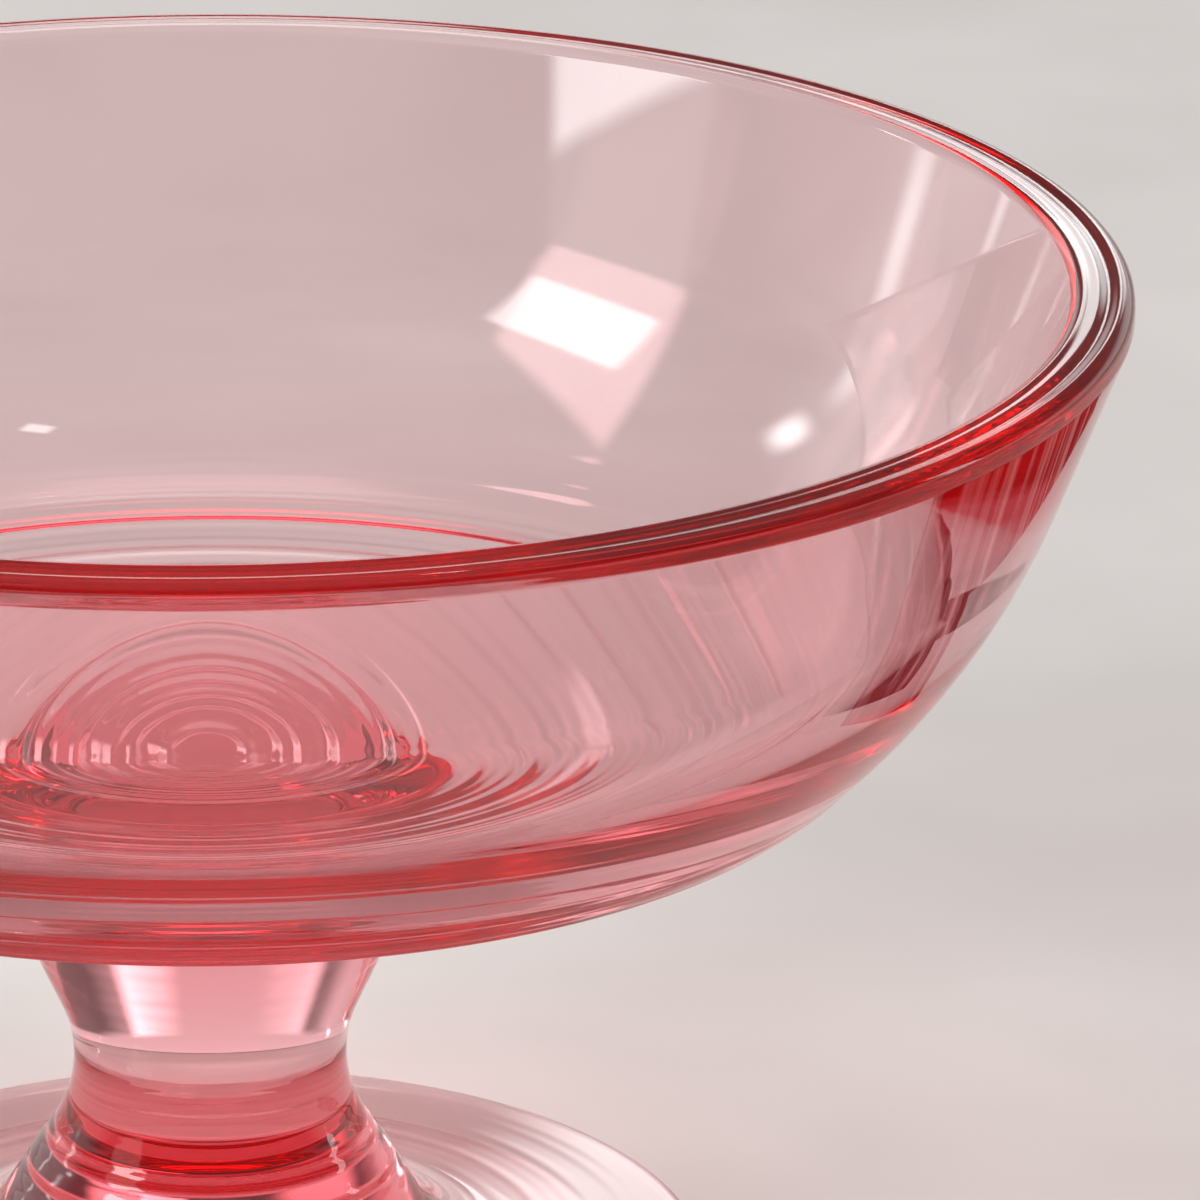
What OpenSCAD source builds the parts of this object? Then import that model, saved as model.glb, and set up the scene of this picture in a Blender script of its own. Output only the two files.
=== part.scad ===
// Footed glass bowl: a flared cup, a waisted stem and a disc foot, fused one on another.
// Every piece is turned about the Z axis. The table is at Z = 0.
// A lean is an angle from upright, and a slope is an angle from level.

/* [Whole bowl] */
// Diameter over the rim
rim_d = 130; // [116:1:150]
// Height of the seat, the top of the stem, above the table
seat_height = 35.58; // [30:0.01:46]

/* [Cup] */
// Thickness of the rim, measured level
rim_wall = 4.3; // [3.2:0.1:5]
// Radius of the rim's outer rounding
lip_outer_r = 1.4; // [0.8:0.1:1.6]
// Radius of the rim's inner rounding
lip_inner_r = 1; // [0.5:0.1:1.2]
// Lean of the outer wall below the rim
outer_lean = 21.5; // [15:0.5:27]
// Length of the straight band below the rim
band_length = 12.5; // [8:0.5:16]
// Radius of the outer side below the band
side_r = 52; // [44:0.5:58]
// Lean at which the side turns into the heel
heel_lean = 48; // [42:1:54]
// Radius of the heel, the tight turn under the side
heel_r = 5; // [4:0.5:9]
// Slope of the underside where it leaves the heel
under_slope = 17; // [13:0.5:21]
// Radius of the slightly rounded underside
under_r = 200; // [150:5:400]
// Thickness of the glass at the middle of the floor
floor_wall = 6.4; // [4.5:0.1:9]
// Lean of the inner wall below the rim
inner_lean = 21.5; // [19:0.5:24]
// Radius of the curve between the inner wall and the floor
inner_side_r = 30; // [26:0.5:34]
// Radius of the shallow dish of the floor
floor_r = 600; // [300:10:1200]

/* [Stem] */
// Diameter of the seat that joins the stem to the cup
seat_d = 36; // [32:0.5:42]
// Diameter of the stem at its waist
waist_d = 19.5; // [14:0.5:24]
// Height of the waist above the table
waist_height = 18; // [16:0.5:20]
// Radius of the curve about the waist
waist_r = 10; // [6:0.5:12]
// Radius of the shoulder that turns the stem outward under the cup
shoulder_r = 2.5; // [1:0.1:4]

/* [Foot] */
// Diameter of the foot
foot_d = 71; // [62:1:80]
// Thickness of the foot at its edge
foot_edge = 2.8; // [2:0.1:3.6]
// Slope of the upper side of the foot
foot_slope = 2.5; // [0.5:0.5:5]
// Diameter at which the foot starts to rise to its hub
rise_d = 42; // [38:0.5:48]
// Radius of the curve that rises to the hub
rise_r = 7.5; // [5:0.5:9]
// Width of the ring that touches the table
rest_width = 5.5; // [3:0.5:9]
// Depth of the hollow under the foot at its middle
hollow_depth = 1.2; // [0.4:0.1:2]

/* [Smoothness] */
// Largest distance between a curve and the short straight lines that draw it
curve_error = 0.01; // [0.005:0.005:0.05]

/* [Hidden] */
glass_colour = "lightcoral";
$fn = 128;

// Unit vector at an angle from the level
function toward(angle) = [cos(angle), sin(angle)];

// Points along an arc about a centre, from one angle to another
function arc(centre, radius, from, to) =
    let (steps = ceil(abs(to - from) / (2 * acos(1 - curve_error / radius))))
    [for (i = [0:steps]) centre + radius * toward(from + (to - from) * i / steps)];

// Lean of the straight line that touches two circles on the side of the axis
function flare_lean(waist, end, waist_radius, end_radius) =
    let (step = end - waist)
    acos((end_radius - waist_radius) / norm(step)) - atan2(abs(step.y), step.x);

// The same outline with each point left out that repeats the one before it
function without_repeats(points) =
    [for (i = [0:len(points) - 1])
        if (i == 0 || norm(points[i] - points[max(i - 1, 0)]) > curve_error) points[i]];

// Cup, outer side: steps from the centre of each curve to that of the next, from the
// underside over the heel and the side to the lip
heel_step = (under_r - heel_r) * toward(under_slope - 90);
side_step = (heel_r - side_r) * toward(-heel_lean);
lip_step = (side_r - lip_outer_r) * toward(-outer_lean) + band_length * toward(90 - outer_lean);
rim_radius = rim_d / 2;
under_x = rim_radius - lip_outer_r - (heel_step + side_step + lip_step).x;

// Seat of the stem on the underside, cut level
seat_radius = seat_d / 2;
seat_slope = asin((seat_radius - under_x) / under_r);
seat = [seat_radius, seat_height];

// Cup, outer side: centres of the curves, and the height from the table to the rim
under_centre = seat - under_r * toward(seat_slope - 90);
heel_centre = under_centre + heel_step;
side_centre = heel_centre + side_step;
lip_outer_centre = side_centre + lip_step;
height = lip_outer_centre.y + lip_outer_r;

// Cup, inner side: lip, wall, side and shallow floor, all tangent to each other
inner_rim_r = rim_radius - rim_wall;
lip_inner_centre = [
    inner_rim_r - lip_inner_r * tan(inner_lean) + lip_inner_r / cos(inner_lean),
    height - lip_inner_r
];
floor_centre = [0, seat_height + floor_wall + floor_r];
floor_reach = floor_r - inner_side_r;
floor_turn = asin((inner_rim_r * cos(inner_lean) + (floor_centre.y - height) * sin(inner_lean)
    - inner_side_r) / floor_reach) - inner_lean;
inner_side_centre = floor_centre + floor_reach * toward(floor_turn - 90);

// Stem, upper part: waist curve, straight flare and shoulder, ending at the seat
waist_centre = [waist_d / 2 + waist_r, waist_height];
shoulder_centre = seat + shoulder_r * toward(seat_slope - 90);
upper_lean = flare_lean(waist_centre, shoulder_centre, waist_r, shoulder_r);

// Foot: rounded edge, sloping upper side and the curve that rises to the hub
edge_r = foot_edge / 2;
edge_centre = [foot_d / 2 - edge_r, edge_r];
top_start = edge_centre + edge_r * toward(90 - foot_slope);
rise_start = [rise_d / 2, top_start.y + (top_start.x - rise_d / 2) * tan(foot_slope)];
rise_centre = rise_start + rise_r * toward(90 - foot_slope);

// Stem, lower part: a straight flare that ends on the hub, where the rise of the foot starts
lower_lean = flare_lean(waist_centre, rise_centre, waist_r, rise_r);
hub = rise_centre + rise_r * toward(180 + lower_lean);

// Hollow under the foot, a shallow dome inside the ring that touches the table
hollow_radius = edge_centre.x - rest_width;
hollow_r = (pow(hollow_radius, 2) + pow(hollow_depth, 2)) / (2 * hollow_depth);
hollow_turn = asin(hollow_radius / hollow_r);

module bowl() {
    color(glass_colour)
        rotate_extrude()
            polygon(without_repeats(concat(
                [[0, seat.y]],
                arc(under_centre, under_r, seat_slope - 90, under_slope - 90),
                arc(heel_centre, heel_r, under_slope - 90, -heel_lean),
                arc(side_centre, side_r, -heel_lean, -outer_lean),
                arc(lip_outer_centre, lip_outer_r, -outer_lean, 90),
                arc(lip_inner_centre, lip_inner_r, 90, 180 - inner_lean),
                arc(inner_side_centre, inner_side_r, -inner_lean, floor_turn - 90),
                arc(floor_centre, floor_r, floor_turn - 90, -90)
            )));
}

module stem() {
    color(glass_colour)
        rotate_extrude()
            polygon(without_repeats(concat(
                [[0, hub.y], hub],
                arc(waist_centre, waist_r, 180 + lower_lean, 180 - upper_lean),
                arc(shoulder_centre, shoulder_r, 180 - upper_lean, 90 + seat_slope),
                [[0, seat.y]]
            )));
}

module foot() {
    color(glass_colour)
        rotate_extrude()
            polygon(without_repeats(concat(
                arc(edge_centre, edge_r, -90, 90 - foot_slope),
                arc(rise_centre, rise_r, 270 - foot_slope, 180 + lower_lean),
                [[0, hub.y]],
                arc([0, hollow_depth - hollow_r], hollow_r, 90, 90 - hollow_turn)
            )));
}

bowl();
stem();
foot();
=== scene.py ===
# %% [markdown]
# # A footed bowl of rose-pink glass
# The real bowl is shaped hot from three gathers of glass: the open cup, the solid stem and the
# round foot. Each is fused to the next while it glows, so light passes the joints unbroken.
# The sizes come from the construction model, the frame. This lesson gives the glass what the
# frame leaves out: a fire-polished surface, the fine rings of the shaping tools, and colour.

# %% Load the frame
import math

import bpy
import numpy as np
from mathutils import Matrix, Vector


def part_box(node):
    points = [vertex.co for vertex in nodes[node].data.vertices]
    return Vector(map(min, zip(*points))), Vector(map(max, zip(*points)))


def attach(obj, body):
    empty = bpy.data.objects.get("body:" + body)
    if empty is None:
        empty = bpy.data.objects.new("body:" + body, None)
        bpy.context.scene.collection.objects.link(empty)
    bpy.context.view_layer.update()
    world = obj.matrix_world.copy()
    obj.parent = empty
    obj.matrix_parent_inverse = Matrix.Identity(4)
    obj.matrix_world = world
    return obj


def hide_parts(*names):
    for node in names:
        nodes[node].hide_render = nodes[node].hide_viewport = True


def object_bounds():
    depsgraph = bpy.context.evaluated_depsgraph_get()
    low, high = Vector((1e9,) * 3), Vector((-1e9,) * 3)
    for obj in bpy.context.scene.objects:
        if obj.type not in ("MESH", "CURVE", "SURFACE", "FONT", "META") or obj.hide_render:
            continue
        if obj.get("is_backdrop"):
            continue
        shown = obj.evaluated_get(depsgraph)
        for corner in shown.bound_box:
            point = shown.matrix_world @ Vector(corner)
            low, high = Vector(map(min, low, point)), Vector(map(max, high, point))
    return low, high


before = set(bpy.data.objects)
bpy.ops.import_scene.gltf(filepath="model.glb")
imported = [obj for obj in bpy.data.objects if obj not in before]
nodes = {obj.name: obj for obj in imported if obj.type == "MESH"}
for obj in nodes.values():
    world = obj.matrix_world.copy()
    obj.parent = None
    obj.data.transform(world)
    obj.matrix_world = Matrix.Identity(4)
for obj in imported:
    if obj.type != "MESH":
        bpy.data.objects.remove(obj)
cad_box = [list(corner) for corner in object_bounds()]
for name in nodes:
    low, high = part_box(name)
    width, bottom, top = 1000 * (high.x - low.x), 1000 * low.z, 1000 * high.z
    print(f"{name}: {width:.1f} mm wide, {bottom:.2f} to {top:.2f} mm high")

# %% [markdown]
# Every piece is round, so all of its shape is in one outline, a line of (radius, height) points
# from which it is turned. The frame draws that line with short straight steps. All points of the
# frame's mesh lie on level rings about the axis, and two rings follow each other on the outline
# where an edge of the mesh joins them. That is enough to read the outline back in order.

# %% Read each piece's outline from the frame
SAME_RING = 5e-6  # metres; points nearer to each other than this lie on one ring
STRAIGHT = 1e-6  # metres; a point nearer than this to the line past it adds nothing


def rings_of(node):
    """The rings of a node as (radius, height), and the pairs of rings that an edge joins."""
    mesh = nodes[node].data
    points = np.array([v.co for v in mesh.vertices])
    flat = np.c_[np.hypot(points[:, 0], points[:, 1]), points[:, 2]]
    rings, ring_of = [], np.empty(len(flat), int)
    for i in np.lexsort((flat[:, 1], flat[:, 0])):
        near = [k for k in range(len(rings) - 1, -1, -1) if np.hypot(*(rings[k] - flat[i])) < SAME_RING]
        if not near:
            rings.append(flat[i])
        ring_of[i] = near[0] if near else len(rings) - 1
    joined = {tuple(sorted((int(ring_of[a]), int(ring_of[b])))) for a, b in (e.vertices for e in mesh.edges)}
    return np.array(rings), {pair for pair in joined if pair[0] != pair[1]}


def outline_of(node, joints):
    """The outline of a node from the axis or one joint to the other; joints are the joints' heights."""
    rings, joined = rings_of(node)
    inside = set()
    for height in joints:
        level = [k for k in range(len(rings)) if abs(rings[k][1] - height) < SAME_RING]
        inside |= set(level) - {max(level, key=lambda k: rings[k][0])}
    next_to = {k: set() for k in range(len(rings)) if k not in inside}
    for a, b in joined:
        if a in next_to and b in next_to:
            next_to[a].add(b)
            next_to[b].add(a)
    ends = [k for k in next_to if len(next_to[k]) == 1]
    way = [max(ends, key=lambda k: rings[k][1] + rings[k][0])]
    while True:
        ahead = [k for k in next_to[way[-1]] if k not in way]
        if not ahead:
            break
        way.append(ahead[0])
    line = [rings[way[0]]]
    for k, after in zip(way[1:-1], way[2:]):
        step = rings[after] - line[-1]
        off = step[0] * (rings[k] - line[-1])[1] - step[1] * (rings[k] - line[-1])[0]
        if abs(off) > STRAIGHT * np.hypot(*step):
            line.append(rings[k])
    return np.array([*line, rings[way[-1]]])


seat_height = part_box("stem")[1].z
hub_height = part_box("stem")[0].z
cup_line = outline_of("bowl", [seat_height])[::-1]
stem_line = outline_of("stem", [seat_height, hub_height])
foot_line = outline_of("foot", [hub_height])
outline = np.vstack([cup_line, stem_line[1:], foot_line[1:]])
seat_at = len(cup_line) - 1
hub_at = seat_at + len(stem_line) - 1
print(f"outline: {len(outline)} points; up to {seat_at} the cup, up to {hub_at} the stem, then the foot")

# %% [markdown]
# Molten glass pulls itself smooth, so the real outline has no straight steps. An arc was drawn
# with equal steps that turn by equal angles. In such a run the true curve starts half a turn
# before each step and ends half a turn after it, which gives its direction at every point.
# Where two curves meet within a degree or so, the glass is smooth there too.

# %% Find the direction of the true curve along the outline
STEPS_ALIKE = 0.02  # two steps of one arc differ by less than this share of their length
TURNS_ALIKE = 0.1  # and two turns by less than this share, give or take TURN_NOISE
TURN_NOISE = 1e-4  # radians
SMOOTH_JOINT = math.radians(1.5)  # a corner of less than this is round in the glass


def directions(line):
    """The angles of the true curve where each straight step of the line starts and ends."""
    steps = np.diff(line, axis=0)
    length = np.hypot(*steps.T)
    angle = np.unwrap(np.arctan2(steps[:, 1], steps[:, 0]))
    turn = np.diff(angle)
    runs, run = [], [0]
    for k in range(1, len(steps)):
        same = abs(length[k] - length[k - 1]) < STEPS_ALIKE * length[k]
        if same and len(run) > 1:
            same = abs(turn[k - 1] - turn[k - 2]) < TURNS_ALIKE * abs(turn[k - 2]) + TURN_NOISE
        if same:
            run.append(k)
        else:
            runs.append(run)
            run = [k]
    runs.append(run)
    start, end = angle.copy(), angle.copy()
    for run in runs:
        if len(run) > 1:
            half = (angle[run[-1]] - angle[run[0]]) / (len(run) - 1) / 2
            start[run] -= half
            end[run] += half
    for k in (run[0] for run in runs if len(run) == 1 and 0 < run[0] < len(steps) - 1):
        left, right = end[k - 1] - angle[k], start[k + 1] - angle[k]
        if abs(left + right) < SMOOTH_JOINT / 2:
            start[k], end[k] = end[k - 1], start[k + 1]
    for k in range(1, len(steps)):
        if abs(start[k] - end[k - 1]) < SMOOTH_JOINT:
            start[k] = end[k - 1] = (start[k] + end[k - 1]) / 2
    return start, end


start, end = directions(outline)
for k in range(1, len(start)):
    if start[k] != end[k - 1]:
        corner = math.degrees(start[k] - end[k - 1])
        print(f"corner of {corner:.1f} degrees at {(1000 * outline[k]).round(2)} mm")

# %% [markdown]
# A tool held against turning glass leaves shallow rings. They could be drawn by a bump, but
# then the light would bend without the surface moving, and the export would lose them. So they
# are built into the mesh, as a sum of three waves along the outline. In the base and low on the
# stem they are up to two tenths of a millimetre deep, too little to see from the side, but thick
# glass bends light so much that they break what is seen through it into bands. The middle of the
# cup's floor, which the tool presses last, and the lip have the strongest. The walls are spun
# free of any tool and stay smooth, and at the joints, which are fused, the rings fade out.

# %% The rings that the tools leave
RING_WAVES = ((3.7e-3, 0.2), (2.1e-3, 1.9), (1.3e-3, 4.1))  # length in metres and phase in radians
RING_SLOPE = {  # lean of one wave, in radians
    "lip": 0.15, "base": 0.07, "floor middle": 0.15, "floor": 0.004,
    "waist": 0.002, "hub": 0.09, "foot": 0.006,
}
# The rings of a place set in, or fade out, between two heights, two radii or two degrees of level
FADE_HEIGHT = {"lip": (0.0735, 0.0750), "waist": (0.010, 0.017)}  # metres
FADE_RADIUS = {"axis": (0.001, 0.003), "floor middle": (0.0135, 0.0165), "floor": (0.004, 0.010)}  # metres
FADE_LEVEL = {"floor": (0.90, 0.98), "foot": (0.80, 0.95), "base": (0.64, 0.82)}  # 0 upright, 1 level
FLOOR_TOP = 0.056  # metres; the inside of the cup below this height is its floor
FUSED = 2.5e-3  # metres of smooth glass on both sides of a joint
travelled = np.r_[0, np.cumsum(np.hypot(*np.diff(outline, axis=0).T))]
joints_at = (travelled[seat_at], travelled[hub_at])


def eased(value, low, high):
    """0 below low, 1 above high, and a smooth step between them."""
    t = np.clip((value - low) / (high - low), 0, 1)
    return t * t * (3 - 2 * t)


def ring_slope(points, outward, way):
    """How strong the rings are at points of the outline, way metres along it."""
    radius, height = points.T
    inside = (way < travelled[seat_at]) & (outward[:, 1] > 0)
    cup = way <= travelled[seat_at]
    foot = way > travelled[hub_at]
    on_floor = inside & (height < FLOOR_TOP)
    floor = eased(outward[:, 1], *FADE_LEVEL["floor"]) * eased(radius, *FADE_RADIUS["floor"])
    middle = eased(radius, *FADE_RADIUS["axis"]) * (1 - eased(radius, *FADE_RADIUS["floor middle"]))
    floor = RING_SLOPE["floor"] * floor + RING_SLOPE["floor middle"] * middle
    base = RING_SLOPE["base"] * eased(-outward[:, 1], *FADE_LEVEL["base"])
    foot_top = RING_SLOPE["foot"] * eased(outward[:, 1], *FADE_LEVEL["foot"])
    up_the_stem = eased(height, *FADE_HEIGHT["waist"])
    stem = RING_SLOPE["hub"] + (RING_SLOPE["waist"] - RING_SLOPE["hub"]) * up_the_stem
    slope = np.where(cup, base, np.where(foot, foot_top, stem))
    slope = np.where(inside, on_floor * floor, slope)
    slope += RING_SLOPE["lip"] * eased(height, *FADE_HEIGHT["lip"])
    for joint in joints_at:
        slope = slope * eased(abs(way - joint), 0, FUSED)
    return slope


for place, lean in RING_SLOPE.items():
    depth = sum(lean * wave / math.pi for wave, _ in RING_WAVES)
    print(f"rings at the {place}: up to {1e6 * depth:.0f} thousandths of a millimetre from top to bottom")

# %% [markdown]
# Each straight step of the outline now becomes a short smooth curve between its two ends (a
# cubic with the true directions), cut as finely as its turn or its rings need. The directions
# also give the surface normals, so that light meets a curve and not facets.

# %% Draw the outline's curve
MOST_TURN = math.radians(2.0)  # of the curve from one row of faces to the next
RING_STEP = 0.21e-3  # metres; six steps to the shortest ring
NO_RING = 1e-4  # radians; rings that lean less than this need no such steps


def curve(k):
    """Step k of the outline as points and outward normals on the smooth, ringed surface."""
    a, b = outline[k], outline[k + 1]
    chord = np.hypot(*(b - a))
    turn = end[k] - start[k]
    middle = np.array([-math.sin(start[k] + turn / 2), math.cos(start[k] + turn / 2)])
    strength = ring_slope((a + b)[None] / 2, middle[None], np.array([travelled[k] + chord / 2]))[0]
    longest = RING_STEP if strength > NO_RING else chord
    pieces = max(math.ceil(abs(turn) / MOST_TURN), math.ceil(chord / longest))
    t = np.linspace(0, 1, pieces + 1)[:, None]
    reach = chord * (1 + turn * turn / 24)  # the length of the arc over the chord
    leave = reach * np.array([math.cos(start[k]), math.sin(start[k])])
    arrive = reach * np.array([math.cos(end[k]), math.sin(end[k])])
    points = (2 * t**3 - 3 * t**2 + 1) * a + (t**3 - 2 * t**2 + t) * leave
    points += (3 * t**2 - 2 * t**3) * b + (t**3 - t**2) * arrive
    along = (6 * t**2 - 6 * t) * a + (3 * t**2 - 4 * t + 1) * leave
    along += (6 * t - 6 * t**2) * b + (3 * t**2 - 2 * t) * arrive
    along /= np.hypot(*along.T)[:, None]
    outward = np.c_[-along[:, 1], along[:, 0]]
    way = travelled[k] + t[:, 0] * (travelled[k + 1] - travelled[k])
    steep = ring_slope(points, outward, way)
    for wave, phase in RING_WAVES:
        angle = 2 * math.pi * way / wave + phase
        points = points + (steep * wave / (2 * math.pi) * np.sin(angle))[:, None] * outward
    lean = steep * sum(np.cos(2 * math.pi * way / wave + phase) for wave, phase in RING_WAVES)
    outward = outward - lean[:, None] * along
    outward /= np.hypot(*outward.T)[:, None]
    points[:, 0] = np.clip(points[:, 0], 0, cad_box[1][0])
    points[:, 1] = np.clip(points[:, 1], cad_box[0][2], cad_box[1][2])
    return points, outward


# %% [markdown]
# A piece is turned like clay on a wheel: its outline is repeated all the way round and the rows
# are joined with faces. At a joint the real pieces are one body of glass. Here each is closed
# by a cap that reaches a hundredth of a millimetre into its neighbour, so that light always
# enters the one before it leaves the other. The caps carry the value 1 in an attribute named
# joint, which the material reads.

# %% Turn a piece
SEGMENTS = 176  # faces round a piece, which keep the cup just under 200,000 triangles
OVERLAP = 1e-5  # metres
ON_AXIS = 1e-6  # metres; a ring of a smaller radius is one point


def as_glass(name, verts, faces, normals, caps, material):
    """An object of the bowl's one body; caps has the value of each face in the attribute joint."""
    mesh = bpy.data.meshes.new(name)
    mesh.from_pydata(verts, [], faces)
    mesh.materials.append(material)
    mesh.polygons.foreach_set("use_smooth", [True] * len(faces))
    mesh.attributes.new("joint", "FLOAT", "FACE").data.foreach_set("value", caps)
    mesh.normals_split_custom_set(normals)
    mesh.update()
    piece = bpy.data.objects.new(name, mesh)
    bpy.context.scene.collection.objects.link(piece)
    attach(piece, "root")
    print(f"{name}: {len(faces)} faces")
    return piece


def turned(name, steps, material):
    """A closed piece turned from a run of the outline's steps."""
    around = np.linspace(0, 2 * math.pi, SEGMENTS, endpoint=False)
    cos, sin = np.cos(around), np.sin(around)
    verts, faces, normals, caps, rings = [], [], [], [], []

    def ring(radius, height):
        if radius < ON_AXIS:
            verts.append((0.0, 0.0, height))
            return [len(verts) - 1] * SEGMENTS
        verts.extend(zip(radius * cos, radius * sin, [height] * SEGMENTS))
        return list(range(len(verts) - SEGMENTS, len(verts)))

    def band(low, high, low_out, high_out, cap):
        """Faces from one ring to the next; the outward side is on the left of the way along."""
        for s in range(SEGMENTS):
            u = (s + 1) % SEGMENTS
            corners = [(low[s], low_out, s), (high[s], high_out, s)]
            if high[s] != high[u]:
                corners.append((high[u], high_out, u))
            if low[s] != low[u]:
                corners.append((low[u], low_out, u))
            faces.append([corner[0] for corner in corners])
            normals.extend((out[0] * cos[i], out[0] * sin[i], out[1]) for _, out, i in corners)
            caps.append(cap)

    for k in steps:
        points, outward = curve(k)
        if not rings:
            rings.append(ring(*points[0]))
        for j in range(1, len(points)):
            rings.append(ring(*points[j]))
            band(rings[-2], rings[-1], outward[j - 1], outward[j], 0.0)
    first, last = outline[steps[0]], outline[steps[-1] + 1]
    if last[0] > ON_AXIS:
        rim = ring(last[0] - 2 * OVERLAP, last[1] - OVERLAP)
        down = np.array([0.0, -1.0])
        band(rings[-1], rim, down, down, 1.0)
        band(rim, ring(0, last[1] - OVERLAP), down, down, 1.0)
    if first[0] > ON_AXIS:
        rim = ring(first[0] - 2 * OVERLAP, first[1] + OVERLAP)
        up = np.array([0.0, 1.0])
        band(rim, rings[0], up, up, 1.0)
        band(ring(0, first[1] + OVERLAP), rim, up, up, 1.0)
    return as_glass(name, verts, faces, normals, caps, material)


# %% [markdown]
# Colours are written as hex values, as a colour picker shows them, and turned into the linear
# light that the shaders count in. One small function adds a node with its settings and links,
# so that each material reads as a list of what it is made of.

# %% Helpers for materials
def linear(hex_colour):
    """A hex colour as three linear values."""
    parts = [int(hex_colour[i:i + 2], 16) / 255 for i in (1, 3, 5)]
    return [v / 12.92 if v <= 0.04045 else ((v + 0.055) / 1.055) ** 2.4 for v in parts]


def add_node(tree, kind, links=(), **settings):
    """Adds a node; settings are its properties, or inputs with _ for a space; links are (output, input)."""
    made = tree.nodes.new(kind)
    for key, value in settings.items():
        if hasattr(made, key):
            setattr(made, key, value)
        else:
            made.inputs[key.replace("_", " ")].default_value = value
    for source, target in links:
        tree.links.new(source, made.inputs[target])
    return made


print("middle grey, #808080, in linear light:", [round(v, 3) for v in linear("#808080")])

# %% [markdown]
# Stirred glass is never quite even. Thin streaks, called cords, bend light a little more or less
# than the glass beside them, and on a turned piece they run round it. They could be modelled
# one by one, but they are far too fine for that. A bump does it: a noise that is read by radius
# and height, so that it stays the same all the way round, with a slow drift so that no cord is a
# perfect ring. The width is a real one, just under a millimetre.

# %% The cords in the glass
CORD_WIDTH = 0.9e-3  # metres
CORD_DRIFT = 0.08  # how much of the place itself is added to the radius and height


def corded(tree, depth):
    """A bump of cords that are depth metres deep."""
    place = add_node(tree, "ShaderNodeTexCoord").outputs["Object"]
    parts = add_node(tree, "ShaderNodeSeparateXYZ", [(place, 0)]).outputs
    level = add_node(tree, "ShaderNodeCombineXYZ", [(parts["X"], "X"), (parts["Y"], "Y")])
    radius = add_node(tree, "ShaderNodeVectorMath", [(level.outputs[0], 0)], operation="LENGTH")
    profile = add_node(
        tree, "ShaderNodeCombineXYZ", [(radius.outputs["Value"], "X"), (parts["Z"], "Y")]
    )
    drift = add_node(tree, "ShaderNodeVectorMath", [(place, 0)], operation="SCALE", Scale=CORD_DRIFT)
    drifted = add_node(
        tree, "ShaderNodeVectorMath", [(profile.outputs[0], 0), (drift.outputs[0], 1)], operation="ADD"
    )
    streaks = add_node(
        tree, "ShaderNodeTexNoise", [(drifted.outputs[0], "Vector")], Scale=1 / CORD_WIDTH, Detail=2.0
    )
    return add_node(
        tree, "ShaderNodeBump", [(streaks.outputs["Fac"], "Height")], Strength=1.0, Distance=depth
    ).outputs[0]


rim_width = cad_box[1][0] - cad_box[0][0]
print(f"cords: about {1000 * CORD_WIDTH:.1f} mm wide, so {rim_width / CORD_WIDTH:.0f} across the rim")

# %% [markdown]
# This is soda-lime glass, coloured in the melt with a trace of metal and smoothed by the flame.
# It bends light by 1.52, as window glass does, and its skin has no roughness at all. The colour
# isn't on the surface but in the depth: each millimetre takes off a little green and blue, so
# that a thin wall looks blush and the thick base deep rose. A volume that absorbs does
# just that. Its colour is given as what white light becomes after ten millimetres.
#
# Two aids belong to the computer and not to the glass. The caps at the joints get an index of 1,
# and so does a ray that has turned fifteen times, which would otherwise never come out and
# leave black specks. And shadow rays pass the surface straight, as if it were clear or
# faintly tinted, because the tracer can't follow them through a bend.

# %% The glass
SODA_LIME_IOR = 1.52
LONGEST_PATH = 15  # turns of a ray in the glass, after which it leaves unbent
TINT_DEPTH = 0.010  # metres of glass that turn white light into the tint
HEADROOM = 1.05  # the density over the strongest loss, so that every share below stays over zero


def rose_glass(name, tint, cord_depth, shade):
    """Glass of a tint, with cords; shade is what one surface leaves of a shadow ray."""
    material = bpy.data.materials.new(name)
    material.use_nodes = True
    tree = material.node_tree
    tree.nodes.clear()
    joint = add_node(tree, "ShaderNodeAttribute", attribute_name="joint", attribute_type="GEOMETRY")
    path = add_node(tree, "ShaderNodeLightPath").outputs
    late = add_node(tree, "ShaderNodeMath", [(path["Ray Depth"], 0)], operation="GREATER_THAN")
    late.inputs[1].default_value = LONGEST_PATH
    passes = add_node(
        tree, "ShaderNodeMath", [(joint.outputs["Fac"], 0), (late.outputs[0], 1)], operation="MAXIMUM"
    )
    bends = add_node(
        tree, "ShaderNodeMapRange", [(passes.outputs[0], "Value")], To_Min=SODA_LIME_IOR, To_Max=1.0
    )
    glass = add_node(
        tree, "ShaderNodeBsdfPrincipled", [(bends.outputs[0], "IOR"), (corded(tree, cord_depth), "Normal")],
        Base_Color=(1, 1, 1, 1), Roughness=0.0, Transmission_Weight=1.0,
    )
    unbent = add_node(tree, "ShaderNodeBsdfTransparent", Color=(*linear(shade), 1))
    surface = add_node(
        tree, "ShaderNodeMixShader",
        [(path["Is Shadow Ray"], 0), (glass.outputs[0], 1), (unbent.outputs[0], 2)],
    )
    lost_per_metre = [-math.log(value) / TINT_DEPTH for value in linear(tint)]
    density = HEADROOM * max(lost_per_metre)
    kept = [1 - lost / density for lost in lost_per_metre]
    depth = add_node(tree, "ShaderNodeVolumeAbsorption", Color=(*kept, 1), Density=density)
    add_node(
        tree, "ShaderNodeOutputMaterial", [(surface.outputs[0], "Surface"), (depth.outputs[0], "Volume")]
    )
    print(f"{name} takes off per metre:", [round(lost, 1) for lost in lost_per_metre])
    return material


# %% [markdown]
# The cup is blown or pressed and then spun open, so that its walls thin out towards the rim, and
# the flame rounds its lip. Its tint is even, but its thick base and its rim, where light goes
# along the glass, are where most of the colour is seen.

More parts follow.
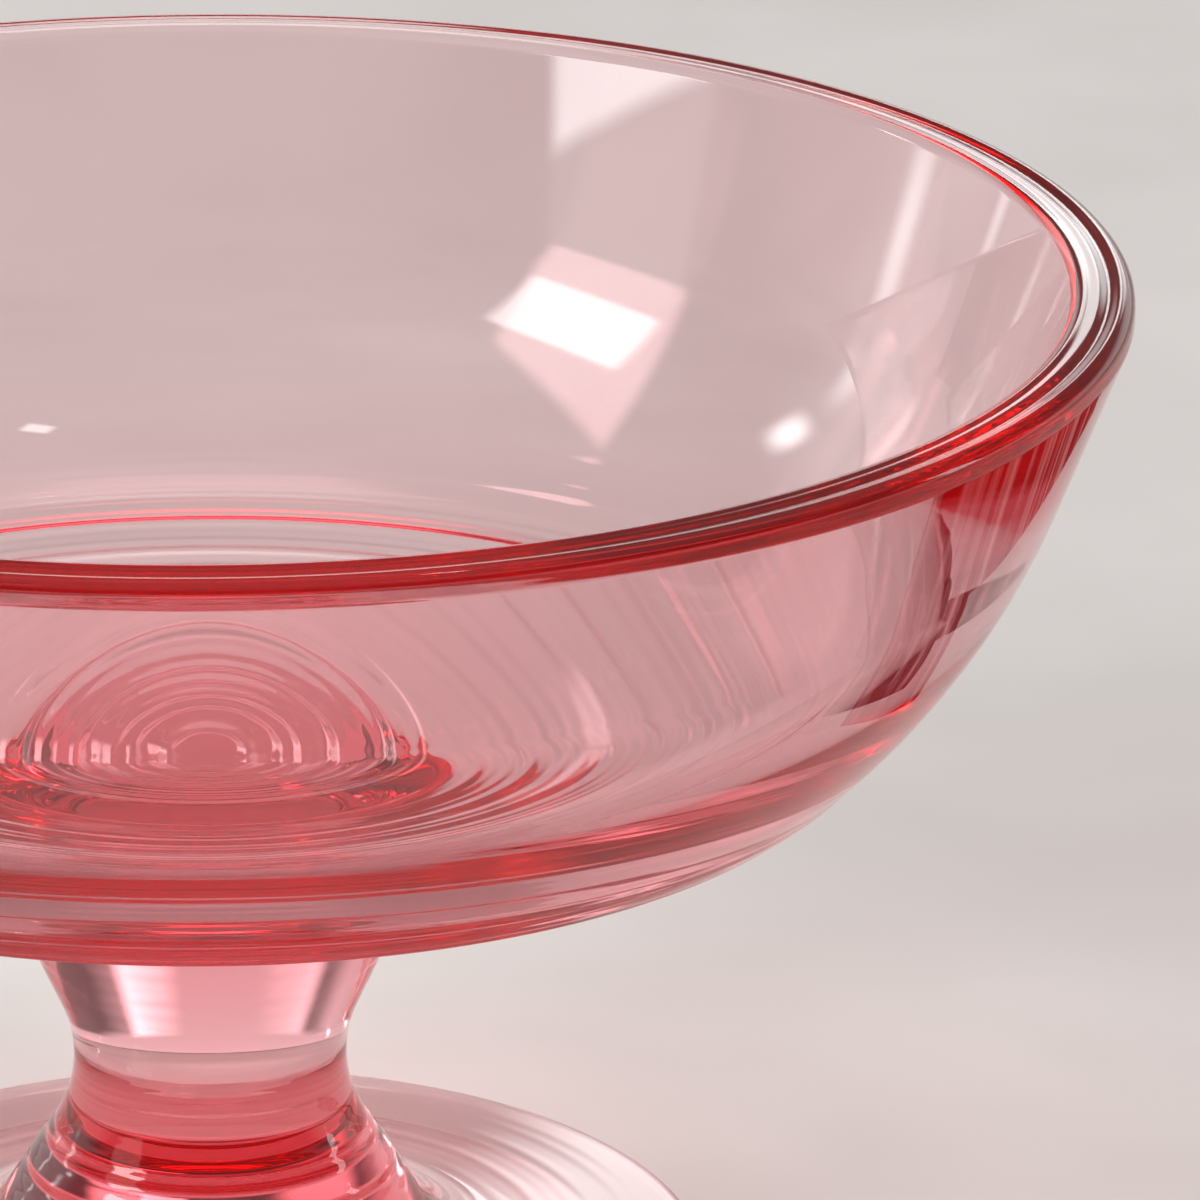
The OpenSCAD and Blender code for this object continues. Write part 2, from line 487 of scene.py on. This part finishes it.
# %% The cup
rose_blown = rose_glass("rose_glass_blown", "#f8c3c8", 0.25e-6, "#ffffff")
cup = turned("cup_of_rose_glass", range(0, seat_at), rose_blown)
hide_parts("bowl")

# %% [markdown]
# The stem is a short gather, drawn out and pinched at its waist while it turns. It is solid, and
# light goes along it as in a rod, so that even a pale melt looks red there. That is why its
# tint is paler than the cup's. Drawing stretches the cords, so that they show more.

# %% The stem
rose_drawn = rose_glass("rose_glass_drawn", "#fad7da", 0.5e-6, "#f3e7e8")
stem = turned("stem_of_rose_glass", range(seat_at, hub_at), rose_drawn)
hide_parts("stem")

# %% [markdown]
# The foot is pressed flat against a board while it turns, and rests on a ring near its edge. It is
# only a few millimetres thick, so its melt is the deepest of the three, and still it shows the
# floor with no more than a wash of pink. Its upper side keeps faint rings from the pressing.

# %% The foot
rose_pressed = rose_glass("rose_glass_pressed", "#f8b4ba", 0.25e-6, "#f3e7e8")
foot = turned("foot_of_rose_glass", range(hub_at, len(outline) - 1), rose_pressed)
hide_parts("foot")

# %% [markdown]
# The bowl stands on a board of smooth matt plaster, pale and slightly warm. Its slow clouds, a
# few centimetres wide, come from noise between two near greys. It is much wider than the view,
# so that no edge shows and every ray that leaves the glass downward meets the same pale ground.

# %% The floor
CLOUD_WIDTH = 0.07  # metres
GREYS = ((0.35, "#cfcac7"), (0.65, "#d9d5d2"))  # value of the noise, and colour
FLOOR_RADIUS = 6  # metres
FLOOR_HEIGHT = -1e-4  # metres; just clear of the foot's underside


def matt(name, per_metre, unevenness, tones, roughness, shine):
    """A matt material of two tones; per_metre is how fine its noise is along X, Y and Z."""
    material = bpy.data.materials.new(name)
    material.use_nodes = True
    tree = material.node_tree
    shader = tree.nodes["Principled BSDF"]
    shader.inputs["Roughness"].default_value = roughness
    shader.inputs["Specular IOR Level"].default_value = shine
    place = add_node(tree, "ShaderNodeNewGeometry").outputs["Position"]
    stretch = add_node(tree, "ShaderNodeVectorMath", [(place, 0)], operation="MULTIPLY")
    stretch.inputs[1].default_value = per_metre
    noise = add_node(
        tree, "ShaderNodeTexNoise", [(stretch.outputs[0], "Vector")],
        Scale=1.0, Detail=3.0, Roughness=unevenness,
    )
    tone = add_node(tree, "ShaderNodeValToRGB", [(noise.outputs["Fac"], 0)])
    for element, (value, colour) in zip(tone.color_ramp.elements, tones):
        element.position = value
        element.color = (*linear(colour), 1)
    tree.links.new(tone.outputs[0], shader.inputs["Base Color"])
    return material


plaster = matt("matt_plaster", [1 / CLOUD_WIDTH] * 3, 0.55, GREYS, roughness=0.9, shine=0.2)
bpy.ops.mesh.primitive_circle_add(
    vertices=128, radius=FLOOR_RADIUS, fill_type="NGON", location=(0, 0, FLOOR_HEIGHT)
)
floor = bpy.context.object
floor.name = "floor"
floor.data.materials.append(plaster)
floor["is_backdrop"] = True
print(f"floor: {floor.dimensions.x:.0f} m wide, with clouds {100 * CLOUD_WIDTH:.0f} cm across")

# %% [markdown]
# Clear glass is a picture of its room, and without bright and dark parts to show it looks like
# jelly. The room here is bright at the horizon, as pale walls are, dark above them and
# bright again at the ceiling. The dark band is what the middle of the cup's wall and its rim
# mirror, and that keeps them crisp.

# %% The room
ROOM = (  # sine of the elevation, and brightness
    (0.0, 1.0), (0.15, 0.95), (0.26, 0.18), (0.50, 0.16), (0.88, 0.50), (1.0, 0.60)
)
WARMTH = (1.0, 0.975, 0.965)  # red, green and blue share of the room's light
world = bpy.data.worlds.new("studio_room")
bpy.context.scene.world = world
world.use_nodes = True
tree = world.node_tree
way = add_node(tree, "ShaderNodeTexCoord").outputs["Generated"]
height = add_node(tree, "ShaderNodeSeparateXYZ", [(way, 0)]).outputs["Z"]
ramp = add_node(tree, "ShaderNodeValToRGB", [(height, 0)])
while len(ramp.color_ramp.elements) < len(ROOM):
    ramp.color_ramp.elements.new(1.0)
for element, (sine, value) in zip(ramp.color_ramp.elements, ROOM):
    element.position = sine
    element.color = (*(value * share for share in WARMTH), 1)
ramp.color_ramp.interpolation = "EASE"
tree.links.new(ramp.outputs[0], tree.nodes["Background"].inputs["Color"])
print(f"room: {min(value for _, value in ROOM)} to {max(value for _, value in ROOM)} bright")

# %% [markdown]
# A lamp for glass is judged by its shape, because the glass mirrors it. These are soft panels with
# edges that fade, like a window seen through a thin curtain. Each is placed by the direction
# in which it is seen from the bowl, and its brightness is given as that of its surface, so that
# it can be compared with the room's. The fade is made in the lamp's own nodes.

# %% A soft panel
BOWL_MIDDLE = Vector((0, 0, 0.05))  # metres; what the panels face


def soft_panel(name, azimuth, elevation, distance, width, height, brightness, edge=0.12):
    """A glowing panel seen from the bowl. Azimuth 0 is towards the camera, 90 to the right."""
    lamp = bpy.data.lights.new(name, "AREA")
    lamp.shape = "RECTANGLE"
    lamp.size, lamp.size_y = width, height
    lamp.energy = brightness * math.pi * width * height
    lamp.use_nodes = True
    tree = lamp.node_tree
    where = add_node(tree, "ShaderNodeNewGeometry").outputs["Parametric"]
    across = add_node(tree, "ShaderNodeSeparateXYZ", [(where, 0)])
    shares = []
    for axis in ("X", "Y"):
        to_edge = add_node(tree, "ShaderNodeMath", [(across.outputs[axis], 0)], operation="PINGPONG")
        to_edge.inputs[1].default_value = 0.5  # the middle, from which the distance falls again
        shares.append(add_node(
            tree, "ShaderNodeMapRange", [(to_edge.outputs[0], "Value")],
            interpolation_type="SMOOTHSTEP", From_Max=edge,
        ))
    both = add_node(
        tree, "ShaderNodeMath", [(shares[0].outputs[0], 0), (shares[1].outputs[0], 1)], operation="MULTIPLY"
    )
    tree.links.new(both.outputs[0], tree.nodes["Emission"].inputs["Strength"])
    panel = bpy.data.objects.new(name, lamp)
    a, up = math.radians(azimuth), math.radians(elevation)
    towards = Vector((math.sin(a) * math.cos(up), -math.cos(a) * math.cos(up), math.sin(up)))
    panel.location = distance * towards + BOWL_MIDDLE
    panel.rotation_euler = towards.to_track_quat("Z", "Y").to_euler()
    panel.visible_camera = False
    bpy.context.scene.collection.objects.link(panel)
    return panel


# %% [markdown]
# The window stands on the left. Its bright pane makes the clear patch inside the cup, and the
# dimmer wall under it the veil above that patch, because a curved wall shows things upside
# down. Narrow strips at the back draw the streaks on the right of the cup's inside, and wide
# dim panels there veil the wall between them. Two panels behind the bowl light the round of
# the rim, a strip on the right lights its side, and a small lamp high up gives the bright spot.
# The broad panel overhead is there for the floor alone and isn't mirrored.

# %% Lamps
PANELS = (  # name, azimuth, elevation, distance, width, height, brightness, share of the width that fades
    ("window_pane", -67, 35.5, 1.4, 0.62, 0.40, 8.5, 0.12),
    ("window_foot", -67, 21, 1.4, 0.62, 0.38, 1.0, 0.12),
    ("far_panel", -160, 17, 1.6, 0.62, 0.55, 1.4, 0.3),
    ("side_veil", -128, 20, 1.5, 1.3, 0.75, 0.8, 0.35),
    ("back_strip", -117, 12, 1.4, 0.18, 0.55, 4.5, 0.5),
    ("back_strip_top", -117, 28, 1.4, 0.22, 0.28, 12.0, 0.5),
    ("back_strip_far", -136, 8, 1.6, 0.12, 0.5, 2.5, 0.5),
    ("rim_panel", 172, 17.5, 1.5, 0.24, 0.20, 3.2, 0.2),
    ("rim_veil", 165, 13, 1.5, 0.50, 0.34, 2.0, 0.3),
    ("right_strip", 101, 16, 1.4, 0.18, 0.45, 3.5, 0.12),
    ("top_spot", 76, 74, 1.4, 0.08, 0.10, 9.0, 0.3),
    ("overhead", 0, 89, 1.5, 1.4, 1.4, 3.8, 0.3),
)
panels = {name: soft_panel(name, *sizes) for name, *sizes in PANELS}
panels["overhead"].visible_glossy = False
print(len(panels), "panels")

# %% [markdown]
# Real glass passes nearly all its light on to the table, gathered here and there into soft pools.
# A path tracer finds those only by luck, as grain, so they are left out of the render settings
# and set one by one: three small spots that shine straight down, one white on the floor behind the
# stem, one pale pink beside the foot, and one rose under the foot, where the light has come
# through the thickest glass. For these and for the overhead panel only the floor casts a
# shadow, which light linking allows, as the glass would if its shadow were bright.

# %% Light that comes through the glass
POOLS = (  # name, place on the floor, radius, power, colour
    ("pool_behind", (-0.010, 0.084), 0.046, 13, (1.0, 0.97, 0.96)),
    ("pool_beside", (0.038, 0.025), 0.055, 9, (1.0, 0.82, 0.81)),
    ("pool_under", (-0.004, 0.020), 0.036, 18, (1.0, 0.55, 0.56)),
)
SPOT_HEIGHT = 0.9  # metres
SPOT_RADIUS = 0.02  # metres
only_the_floor = bpy.data.collections.new("only_the_floor")
only_the_floor.objects.link(floor)
panels["overhead"].light_linking.blocker_collection = only_the_floor
for name, place, radius, power, colour in POOLS:
    spot = bpy.data.lights.new(name, "SPOT")
    spot.energy = power
    spot.color = colour
    spot.spot_size = 2 * math.atan(radius / SPOT_HEIGHT)
    spot.spot_blend = 1.0
    spot.shadow_soft_size = SPOT_RADIUS
    lamp = bpy.data.objects.new(name, spot)
    lamp.location = (*place, SPOT_HEIGHT)
    lamp.visible_glossy = lamp.visible_transmission = False
    bpy.context.scene.collection.objects.link(lamp)
    lamp.light_linking.blocker_collection = only_the_floor
    print(f"{name}: {2000 * radius:.0f} mm across")

# %% [markdown]
# A thick glass edge shows dark only if it has something dark to bend into it. The floor at the right,
# just outside the picture, where the bowl's shadow would lie, gets two sheets of painted shadow.
# They are a painted pink shadow, wine red with paler streaks of painted light, so that the edge gets
# warm streaks and no flat black. Only rays that have been bent or mirrored by the glass meet them.

# %% Painted shadow beside the bowl
SHEETS = (  # metres: across, and into the view
    ((0.084, 0.150), (0.005, 0.045)),
    ((0.112, 0.150), (0.045, 0.135)),
)
SHEET_HEIGHT = 2e-4  # metres; just clear of the floor
PAINTED_STREAKS_PER_METRE = (9.0, 110.0, 1.0)
PAINTED_SHADOW_TONES = ((0.48, "#762c2f"), (0.66, "#d6b7b7"))  # value of the noise, and colour
# painted shadow: wine red with paler streaks of painted light, which only the glass shows
painted_shadow = matt("painted_pink_shadow", PAINTED_STREAKS_PER_METRE, 0.6, PAINTED_SHADOW_TONES, roughness=1.0, shine=0.0)
for k, (across, along) in enumerate(SHEETS):
    bpy.ops.mesh.primitive_plane_add(size=1, location=(sum(across) / 2, sum(along) / 2, SHEET_HEIGHT))
    sheet = bpy.context.object
    sheet.name = f"painted_shadow_sheet_{k}"
    sheet.scale = (across[1] - across[0], along[1] - along[0], 1)
    sheet.data.materials.append(painted_shadow)
    sheet.visible_camera = sheet.visible_diffuse = sheet.visible_shadow = False
    sheet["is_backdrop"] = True
    print(f"{sheet.name}: {1000 * sheet.scale.x:.0f} by {1000 * sheet.scale.y:.0f} mm")

# %% [markdown]
# The photograph is taken with a long lens from a little above the rim, and shows only the right
# part of the bowl. The place, the tilt and the lens were fitted to the ellipses of the rim and the
# foot. The lens is so long that the bowl fills the picture from three quarters of a metre.

# %% The camera
PICTURE_WIDTH = 1200  # pixels
FOCAL_LENGTH = 11458  # pixels
SENSOR = 36  # millimetres
CAMERA_PLACE = (0, -0.7614, 0.3206)  # metres
TILT_DOWN, TURN_RIGHT = math.radians(19.436), math.radians(1.450)
CROP_SHIFT = 0.1  # of the picture's width; the lens points this much left of the crop's middle
NEAREST, FARTHEST = 0.01, 50  # metres from the camera; only what lies between is drawn
camera = bpy.data.objects.new("camera", bpy.data.cameras.new("camera"))
bpy.context.scene.collection.objects.link(camera)
bpy.context.scene.camera = camera
camera.location = CAMERA_PLACE
camera.rotation_euler = (math.pi / 2 - TILT_DOWN, 0, -TURN_RIGHT)
camera.data.sensor_width = SENSOR
camera.data.lens = FOCAL_LENGTH / PICTURE_WIDTH * SENSOR
camera.data.shift_x = CROP_SHIFT
camera.data.clip_start, camera.data.clip_end = NEAREST, FARTHEST
print(f"lens: {camera.data.lens:.0f} mm, {camera.location.length:.2f} m from the foot")

# %% [markdown]
# In thick glass a ray may turn many times before it comes out, so it is given 24 turns where
# twelve are usual. Too few would leave the base and the rim black. The standard view transform
# keeps each colour as it is written.

# %% Render settings
MOST_BOUNCES = 24
MOST_UNBENT = 32  # surfaces that a ray may pass without a bend
scene = bpy.context.scene
scene.view_settings.view_transform = "Standard"
for kind in ("max_bounces", "transmission_bounces", "glossy_bounces"):
    setattr(scene.cycles, kind, MOST_BOUNCES)
scene.cycles.transparent_max_bounces = MOST_UNBENT
scene.cycles.caustics_reflective = False
scene.cycles.caustics_refractive = False
print(f"a ray may turn {MOST_BOUNCES} times")

# %% [markdown]
# Last, the size of the dressed bowl is set beside that of the frame. The glass may only smooth the
# frame's short straight steps and carry the shallow rings.

# %% Measure and finish
visual_box = [list(corner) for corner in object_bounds()]
for axis, (cad_low, cad_high, low, high) in zip("XYZ", zip(*cad_box, *visual_box)):
    print(f"{axis}: frame {1000 * (cad_high - cad_low):.2f} mm, dressed {1000 * (high - low):.2f} mm")
